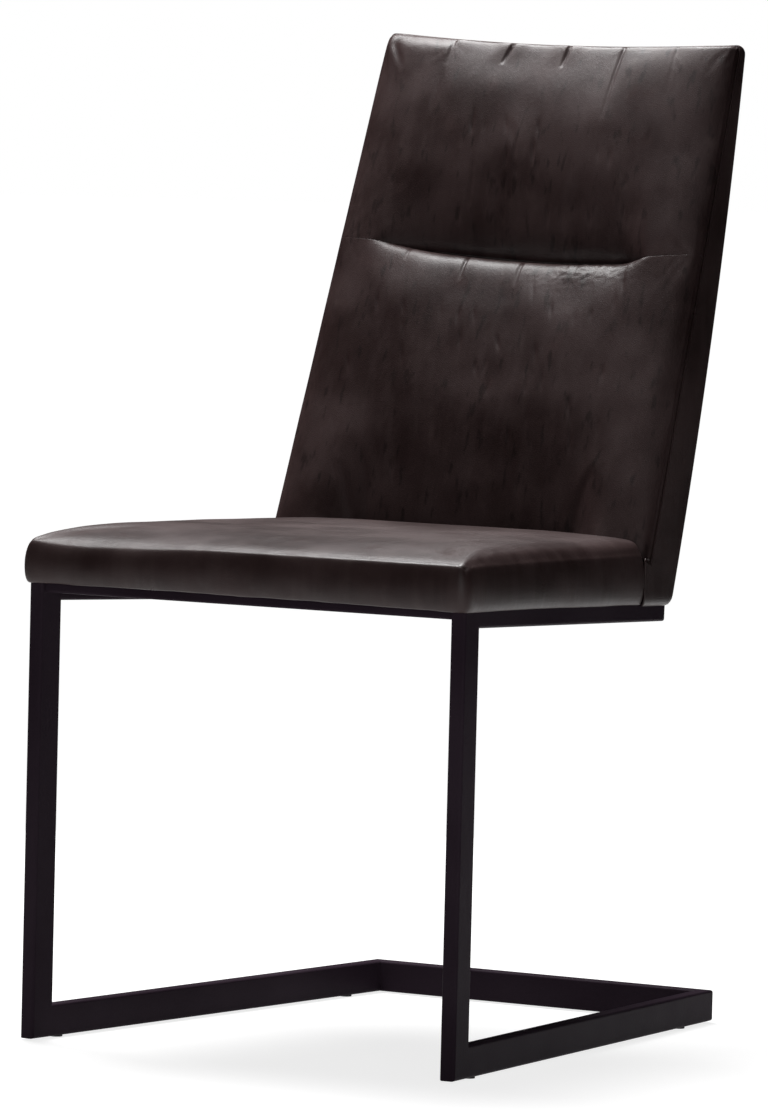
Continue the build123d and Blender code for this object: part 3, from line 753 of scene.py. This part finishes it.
def on_back(points):
    """Points on the leaning back, taken to the chair's frame: its sides close in with depth."""
    x, up, level = points.T
    depth = BACK_FOOT + up * sin(BACK_LEAN) - level * cos(BACK_LEAN)
    x = x * half_width(depth, SIDE_OVERHANG - PAD_INSET) / back_half(up)
    height = PAD_FOOT + up * cos(BACK_LEAN) + level * sin(BACK_LEAN)
    return np.stack([x, depth + LEG_FRONT, height], axis=-1)


def back_pad(name, low, high, corners, rise):
    """A pad on the leaning back, between its two ends."""
    return padded_form(
        name, back_half, low, high, corners, rise, PAD_WALL, pad_base, on_back, PAD_EDGE_STEP, PAD_PITCH
    )


lower_rise = pad_rise(eased(LOWER_SEAM_RISE), hidden_foot, False)
upper_rise = pad_rise(eased(UPPER_SEAM_RISE), folded_top, True)
lower_pad = back_pad("lower_back_leather", pad_foot, lower_pad_top, LOWER_CORNERS, lower_rise)
upper_pad = back_pad("upper_back_leather", upper_pad_foot, back_top, UPPER_CORNERS, upper_rise)

# Tucks where the leather is gathered: place across, length, lean, and how deep it is pulled.
TOP_TUCKS = (
    (-0.113, 0.032, radians(2), 0.0013),
    (-0.046, 0.026, radians(13), 0.0042),
    (0.017, 0.027, radians(4), 0.0042),
    (0.077, 0.08, radians(1), 0.0018),
    (0.136, 0.05, radians(-2), 0.0006),
)
SEAM_TUCKS = (
    (-0.116, 0.016, radians(-4), 0.0015),
    (-0.05, 0.03, radians(-3), 0.0022),
    (0.012, 0.03, radians(-3), 0.002),
    (0.074, 0.016, radians(0), 0.001),
)
TUCK_WIDTH = 0.0013
TUCK_START = 0.0025
TUCK_TAPER = 0.6
PUFF_WIDTH = 0.009
PUFF_SHARE = 0.3
# Wrinkles: their number, size and strength, the mean and spread of their lean, and where they lie
WRINKLES = 40
WRINKLE_SEED = 5
WRINKLE_DEPTH = 0.0011
WRINKLE_WIDTH = 0.0018
WRINKLE_LENGTH = (0.006, 0.011)
WRINKLE_STRENGTH = (0.2, 1.0)
WRINKLE_LEAN = (-0.15, 0.08)
UPPER_WRINKLES = ((-0.07, 0.13), (0.325, 0.425))
LOWER_WRINKLES = ((-0.16, 0.15), (0.06, 0.27))
BILLOW = 0.0009
BILLOW_SIZE = 0.04
# Fine crinkles on the lower pad's roll, right of the middle
CRINKLE = 0.0008
CRINKLE_SIZE = 0.0045
CRINKLE_REACH = 0.022
CRINKLE_FROM = 0.01
CRINKLE_TO = 0.16
CRINKLE_FADE = 0.05
FACE_MARGIN = 0.001
FACE_FADE = 0.003
# Share of the painted crease shade on the back pads
CREASE_SHADE_SHARE = 0.65


def from_back(points):
    """Points of the chair's frame as places across, up and out from the leaning back."""
    x, y, z = points.T
    depth, height = y - LEG_FRONT - BACK_FOOT, z - PAD_FOOT
    up = depth * sin(BACK_LEAN) + height * cos(BACK_LEAN)
    level = height * sin(BACK_LEAN) - depth * cos(BACK_LEAN)
    return x, up, level


def tuck(x, below, place, length, lean, depth):
    """One tuck running down from an edge: a pulled crease with a puff on each side of it."""
    across = x - place + below * tan(lean)
    run = np.clip(1 - below / length, 0, 1) ** TUCK_TAPER * np.clip(below / TUCK_START, 0, 1)
    crease = -np.exp(-(across / TUCK_WIDTH) ** 2)
    puff = PUFF_SHARE * np.exp(-((abs(across) - PUFF_WIDTH) / PUFF_WIDTH) ** 2)
    return depth * (crease * run + puff * run**2)


draws = np.random.default_rng(WRINKLE_SEED)


def wrinkles(x, up, across_range, up_range):
    """Short upright creases scattered over a stretch of the back."""
    depth = np.zeros_like(x)
    for _ in range(WRINKLES):
        place = draws.uniform(*across_range)
        middle = draws.uniform(*up_range)
        length = draws.uniform(*WRINKLE_LENGTH)
        strength = draws.uniform(*WRINKLE_STRENGTH)
        lean = draws.normal(*WRINKLE_LEAN)
        across = (x - place - lean * (up - middle)) / WRINKLE_WIDTH
        depth -= strength * np.exp(-(across**2) - ((up - middle) / length) ** 2)
    return WRINKLE_DEPTH * depth


def on_face(level):
    """1 on a pad's face and 0 on its wall."""
    return np.clip((level + PAD_RIM + FACE_MARGIN) / FACE_FADE, 0, 1)


def gathered_top(points):
    """Movement of the upper pad's leather: tucks down from its top edge, billows and wrinkles."""
    x, up, level = from_back(points)
    gather = sum(tuck(x, back_top(x) - up, *sizes) for sizes in TOP_TUCKS)
    swell = BILLOW * billows(points, BILLOW_SIZE) + wrinkles(x, up, *UPPER_WRINKLES)
    return gather + swell * on_face(level)


def gathered_seam(points):
    """Movement of the lower pad's leather: tucks down from the seam, billows, wrinkles and crinkles."""
    x, up, level = from_back(points)
    below = seam(x) - up
    gather = sum(tuck(x, below, *sizes) for sizes in SEAM_TUCKS)
    swell = BILLOW * billows(points, BILLOW_SIZE) + wrinkles(x, up, *LOWER_WRINKLES)
    along = np.clip((x - CRINKLE_FROM) / CRINKLE_FADE, 0, 1) * np.clip((CRINKLE_TO - x) / CRINKLE_FADE, 0, 1)
    crinkled = np.exp(-((below / CRINKLE_REACH) ** 2)) * along
    swell += CRINKLE * crinkled * billows(points, CRINKLE_SIZE)
    return gather + swell * on_face(level)


def hold_tucks(piece, edge, tucks):
    """Hold a cover along its tucks while it settles, so that it puffs up between them."""
    x, up, _ = from_back(points_of(piece))
    below = edge(x) - up
    held = np.zeros(len(x), bool)
    for place, length, lean, _ in tucks:
        held |= (abs(x - place + below * tan(lean)) < PAD_PITCH / 2) & (below < length)
    piece.vertex_groups["held"].add(np.flatnonzero(held).tolist(), 1.0, "REPLACE")


hold_tucks(lower_pad, seam, SEAM_TUCKS)
hold_tucks(upper_pad, back_top, TOP_TUCKS)
# The back pads' leather carries dark upright marks painted on as crease shade
crease_shaded_leather = finish("crease_shaded_leather", waxed_leather(CREASE_SHADE_SHARE), LEATHER_GLOSS)
PADS = ((lower_pad, "lower_back", gathered_seam), (upper_pad, "upper_back", gathered_top))
for pad, part, gathers in PADS:
    settle(pad, PAD_SWELL)
    refine(pad)
    sculpt(pad, gathers)
    thicken(pad, LEATHER_THICKNESS)
    wear(pad, crease_shaded_leather)
    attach(pad, "root")
    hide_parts(part + "_cover", part + "_foam")

# Rear cover: one leather wrap for the back's sides, rear and top, filled with foam round the
# uprights. Its skirt hangs beside the rails' ends, and its front edge is sewn to the pads.
REAR_PITCH = 0.0045
REAR_EDGE_STEP = 0.0015
REAR_THICKNESS = (0.067, 0.0527, 0.0167)
REAR_ROUND = 0.009
FOOT_ROUND = 0.009
FOOT_TUCK = 0.0028
TOP_ROUND = 0.008
TOP_SIDE_ROUND = 0.0045
TOP_LAP = 0.0015
ROUND_STEPS = 7
REAR_FULLNESS = 0.0025
SIDE_FULLNESS = 0.0008
LEDGE_LIFT = 0.0003
SEAM_LAP = 0.0008
SEAM_TUCK = 0.0002
LEAST_SIDE = 0.0004
# Places along a side face, close together at the seam with the pad
SIDE_SPACING = np.concatenate([[0, 0.008, 0.02, 0.035], np.linspace(0.06, 1, 14)])
REAR_COLUMNS = 64
APRON_COLUMNS = 7
# Rows over the top, to its front edge: share of its depth, and how many side rounds it is drawn in
TOP_FACE = ((0.8, 1.2), (1.0, 1.4))
LAP_DRAWN_IN = 1.6
JOIN_DISTANCE = 1e-5

REAR_TOP = RAIL_TOP + BACK_RISE - PAD_THICKNESS * sin(BACK_LEAN)
WRAP_TOP = REAR_TOP - TOP_ROUND
LEDGE = PAD_FOOT - PAD_THICKNESS * sin(BACK_LEAN) + LEDGE_LIFT
REAR_LOW = RAIL_TOP - SEAT_SKIRT - SEAT_REAR * tan(RAIL_FALL)


def panel_depth(height):
    """Depth of the back panel's front face at a height."""
    return BACK_FOOT + (height - PAD_FOOT) * tan(BACK_LEAN) + PAD_THICKNESS / cos(BACK_LEAN)


REAR_HEIGHTS = np.array([REAR_LOW, (REAR_LOW + REAR_TOP) / 2, REAR_TOP])
REAR_BOW = np.polyfit(REAR_HEIGHTS, panel_depth(REAR_HEIGHTS) + np.array(REAR_THICKNESS), 2)


def wrap_row(height, inset, side_inset, fullness):
    """Plan of the wrap at a height, from its left front edge round the rear to its right one."""
    front = panel_depth(max(height, LEDGE))
    rear = np.polyval(REAR_BOW, height) - inset
    corner = np.clip(rear - front - LEAST_SIDE, LEAST_SIDE, REAR_ROUND)
    turn = np.linspace(0, pi / 2, ROUND_STEPS)
    straight = front + (rear - corner - front) * SIDE_SPACING[:-1]
    depth = np.concatenate([straight, rear - corner * (1 - np.sin(turn))])
    turned_in = np.concatenate([0 * straight, corner * (1 - np.cos(turn))])
    along = np.clip((depth - front) / max(rear - front, LEAST_SIDE), 0, 1)
    swell = SIDE_FULLNESS * fullness * np.sin(pi * along) ** 2
    if height > LEDGE:
        depth[0] -= SEAM_LAP
        turned_in[0] += SEAM_TUCK
    half = half_width(depth, SIDE_OVERHANG) - side_inset - turned_in + swell
    middle = np.linspace(-half[-1], half[-1], REAR_COLUMNS)[1:-1]
    bow = REAR_FULLNESS * fullness * (1 - (middle / half[-1]) ** 2)
    return np.concatenate([-half, middle, half[::-1]]), np.concatenate([depth, rear + bow, depth[::-1]])


def top_line(x):
    """Height of the back's top edge, which dips between its corners."""
    half = half_width(panel_depth(REAR_TOP), SIDE_OVERHANG)
    return REAR_TOP + cos(BACK_LEAN) * (TOP_TILT * x - TOP_DIP * (1 - (x / half) ** 2))


def raised(x, depth, share, lift=0.0):
    """Points of the wrap over a plan, a share of the way from its hem to its top, and lifted."""
    hem = RAIL_TOP - SEAT_SKIRT - depth * tan(RAIL_FALL)
    height = hem + (top_line(x) - TOP_ROUND - hem) * share + lift
    return np.stack([x, depth + LEG_FRONT, height], axis=-1)


wrap, left_apron, right_apron = [], [], []
apron_depth = np.linspace(SEAT_REAR, panel_depth(LEDGE), APRON_COLUMNS)
heights = REAR_LOW + (WRAP_TOP - REAR_LOW) * rule(WRAP_TOP - REAR_LOW, REAR_EDGE_STEP, REAR_PITCH)
heights = [height for height in heights if abs(height - LEDGE) > REAR_EDGE_STEP / 2]
for height in sorted([*heights, LEDGE]):
    share = (height - REAR_LOW) / (WRAP_TOP - REAR_LOW)
    low = max(1 - (height - REAR_LOW) / FOOT_ROUND, 0)
    rolled = 1 - (1 - low**2) ** 0.5
    x, depth = wrap_row(height, FOOT_ROUND * rolled, FOOT_TUCK * rolled, sin(pi * share))
    wrap.append(raised(x, depth, share))
    if height <= LEDGE:
        half = half_width(apron_depth, SIDE_OVERHANG) - FOOT_TUCK * rolled
        to_pad = (apron_depth[-1] - apron_depth) * tan(BACK_LEAN) * (height - REAR_LOW) / (LEDGE - REAR_LOW)
        left_apron.append(raised(-half, apron_depth, share, to_pad))
        right_apron.append(raised(half, apron_depth, share, to_pad)[::-1])
thick = np.polyval(REAR_BOW, REAR_TOP) - panel_depth(REAR_TOP)
over_top = [
    (TOP_ROUND * (1 - cos(turn)), TOP_SIDE_ROUND * (1 - cos(turn)), TOP_ROUND * sin(turn))
    for turn in np.linspace(0, pi / 2, ROUND_STEPS)[1:]
]
over_top += [(share * thick, drawn_in * TOP_SIDE_ROUND, TOP_ROUND) for share, drawn_in in TOP_FACE]
over_top.append((thick + TOP_LAP, LAP_DRAWN_IN * TOP_SIDE_ROUND, TOP_ROUND - TOP_LAP))
for inset, side_inset, lift in over_top:
    x, depth = wrap_row(WRAP_TOP + lift, inset, side_inset, 0.0)
    wrap.append(raised(x, depth, 1.0, lift))
wrap_points, wrap_faces = [], []
for patch in (wrap, left_apron, right_apron):
    grid = np.stack(patch, axis=1)
    start = len(wrap_points)
    wrap_faces += [tuple(start + corner for corner in face) for face in grid_faces(*grid.shape[:2])]
    wrap_points += grid.reshape(-1, 3).tolist()
rear_wrap = mesh_piece("rear_back_leather", wrap_points, wrap_faces, leather)
rear_wrap.modifiers.new("joined_aprons", "WELD").merge_threshold = JOIN_DISTANCE
keep_modifiers(rear_wrap)
thicken(rear_wrap, LEATHER_THICKNESS)
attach(rear_wrap, "root")
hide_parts("rear_back_cover", "rear_back_foam")

# Studio: a plain white floor and background, a large soft box overhead, and a broad weak fill at the
# camera's side. A black curtain round the chair shows only in reflections. The camera has a long
# lens and stands at the chair's right front, about as high as the top of the back.
FLOOR_RADIUS = 40.0
FLOOR_COLOUR = (0.42, 0.42, 0.42, 1)
FLOOR_ROUGHNESS = 0.9
FLOOR_GLOW = 0.8
BACKGROUND_RAYS = ("Is Camera Ray", "Is Glossy Ray", "Is Transmission Ray")
WHITE = (1, 1, 1, 1)
BLACK = (0, 0, 0, 1)
ROOM = (0.06, 0.06, 0.063, 1)
SHADOW_REACH = (0.8, 1.5)
CURTAIN_RADIUS = 1.9
CURTAIN_HEIGHT = 3.0
CURTAIN_COLOUR = (0.012, 0.012, 0.012, 1)
CURTAIN_ROUGHNESS = 1.0


def matt(name, colour, roughness):
    """A plain material without gloss."""
    material = bpy.data.materials.new(name)
    material.use_nodes = True
    shader = material.node_tree.nodes["Principled BSDF"]
    shader.inputs["Base Color"].default_value = colour
    shader.inputs["Roughness"].default_value = roughness
    shader.inputs["Specular IOR Level"].default_value = 0.0
    return material


def seen_as_background(tree):
    """1 for rays that show the background: from the camera, in gloss, and through glass."""
    ray = tree.nodes.new("ShaderNodeLightPath")
    direct, gloss, glass = (Socket(tree, ray.outputs[name]) for name in BACKGROUND_RAYS)
    return (direct + gloss + glass).between(0.0, 1.0)


bpy.ops.mesh.primitive_circle_add(vertices=96, radius=FLOOR_RADIUS, fill_type="NGON")
floor = bpy.context.object
floor.name = "floor"
floor_material = matt("white_floor", FLOOR_COLOUR, FLOOR_ROUGHNESS)
tree = floor_material.node_tree
lit = tree.nodes["Principled BSDF"]
spot = Socket(tree, tree.nodes.new("ShaderNodeTexCoord").outputs["Object"])
away = spot.node("VectorMath", {"operation": "LENGTH"}, {0: spot}, output="Value").between(*SHADOW_REACH)
glow = (seen_as_background(tree) * (FLOOR_GLOW + (1 - FLOOR_GLOW) * away)).tint(BLACK, WHITE)
white = spot.node("Emission", {}, {"Color": glow, "Strength": 1.0})
both = spot.node("AddShader", {}, {0: Socket(tree, lit.outputs[0]), 1: white})
tree.links.new(both.output, tree.nodes["Material Output"].inputs["Surface"])
wear(floor, floor_material)

bpy.ops.mesh.primitive_cylinder_add(
    vertices=48, radius=CURTAIN_RADIUS, depth=CURTAIN_HEIGHT, end_fill_type="NOTHING"
)
curtain = bpy.context.object
curtain.name = "black_curtain"
curtain.location.z = CURTAIN_HEIGHT / 2
curtain.visible_camera = False
wear(curtain, matt("black_curtain", CURTAIN_COLOUR, CURTAIN_ROUGHNESS))

world = bpy.data.worlds.new("studio")
bpy.context.scene.world = world
world.use_nodes = True
sky = world.node_tree
sky_colour = seen_as_background(sky).tint(ROOM, WHITE)
sky.links.new(sky_colour.output, sky.nodes["Background"].inputs["Color"])


def soft_box(name, place, aim, size, power):
    """A rectangular lamp at a place, turned to a point, with its size in metres and power in watts."""
    lamp = bpy.data.lights.new(name, "AREA")
    lamp.shape = "RECTANGLE"
    lamp.size, lamp.size_y = size
    lamp.energy = power
    box = bpy.data.objects.new(name, lamp)
    bpy.context.scene.collection.objects.link(box)
    box.location = place
    box.rotation_mode = "QUATERNION"
    box.rotation_quaternion = (Vector(aim) - Vector(place)).to_track_quat("-Z", "Y")


soft_box("overhead_box", place=(-0.7, 0.45, 2.5), aim=(0, 0.05, 0.5), size=(1.2, 1.2), power=90)
soft_box("front_fill", place=(0.8, -1.5, 0.5), aim=(0, -0.28, 0.45), size=(1.4, 0.9), power=4)

CAMERA_PLACE = (3.88174, -6.455205, 0.93133)
CAMERA_YAW = radians(31.16855)
CAMERA_PITCH = radians(3.648264)
CAMERA_ROLL = radians(1.413271)
FOCAL_PIXELS = 8000
FRAME_HEIGHT = 1114
SENSOR = 36.0
VIEW_LENGTH = 200

forward = Vector((
    -sin(CAMERA_YAW) * cos(CAMERA_PITCH),
    cos(CAMERA_YAW) * cos(CAMERA_PITCH),
    -sin(CAMERA_PITCH),
))
level = Vector((cos(CAMERA_YAW), sin(CAMERA_YAW), 0))
upright = level.cross(forward)
right = level * cos(CAMERA_ROLL) + upright * sin(CAMERA_ROLL)
up = upright * cos(CAMERA_ROLL) - level * sin(CAMERA_ROLL)
lens = bpy.data.cameras.new("camera")
lens.sensor_width = SENSOR
lens.lens = FOCAL_PIXELS * SENSOR / FRAME_HEIGHT
lens.clip_end = VIEW_LENGTH
camera = bpy.data.objects.new("camera", lens)
bpy.context.scene.collection.objects.link(camera)
turned = Matrix((right, up, -forward)).transposed().to_4x4()
camera.matrix_world = Matrix.Translation(CAMERA_PLACE) @ turned
bpy.context.scene.camera = camera
bpy.context.scene.view_settings.view_transform = "Standard"
